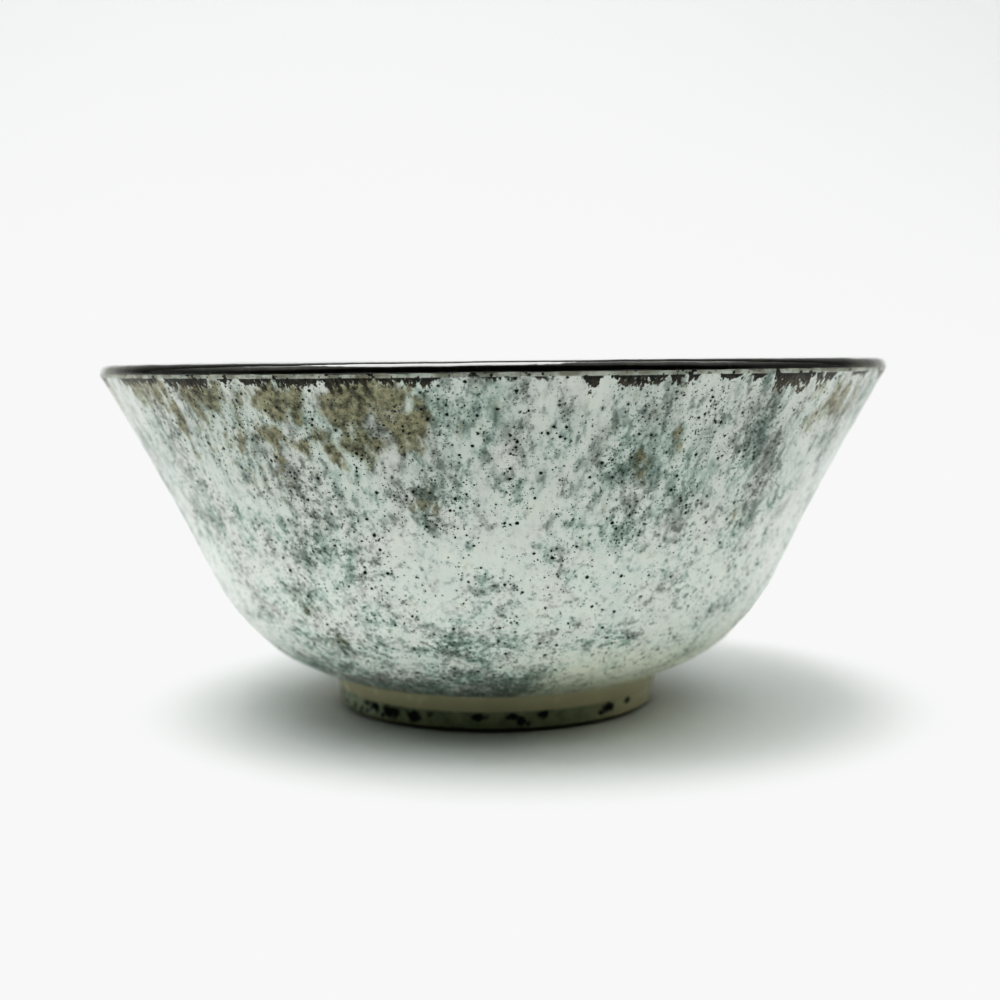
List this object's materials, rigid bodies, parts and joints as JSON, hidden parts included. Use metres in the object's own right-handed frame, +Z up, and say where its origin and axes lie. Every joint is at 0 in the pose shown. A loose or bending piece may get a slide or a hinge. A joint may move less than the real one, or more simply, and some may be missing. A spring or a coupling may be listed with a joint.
{
  "type": "matcha bowl",
  "caption": "Wide, flared tea bowl with a round belly, a thin lip and a low ring foot, in pale speckled glaze with a dark glazed rim.",
  "frame": {"origin": "centre of the foot's bottom face, on the surface the bowl stands on", "axes": "+Z up out of the mouth, along the bowl's axis; +X to the right and -Y towards someone who looks at the front"},
  "size_m": [0.1504, 0.1504, 0.0669],
  "materials": {
    "stoneware": "bare fired clay, matt and slightly gritty",
    "speckled_glaze": "satin, milky white with grey-green mottling and fine dark specks",
    "iron_glaze": "gloss, brown-black",
    "clear_glaze": "gloss, transparent over beige clay, with blurred blue-black dabs on the foot"
  },
  "bodies": {
    "root": {"clay_body": "stoneware", "foot_ring": "stoneware", "outer_glaze": "speckled_glaze", "inner_glaze": "speckled_glaze", "rim_glaze": "iron_glaze", "foot_glaze": "clear_glaze", "base_glaze": "clear_glaze"}
  },
  "joints": []
}
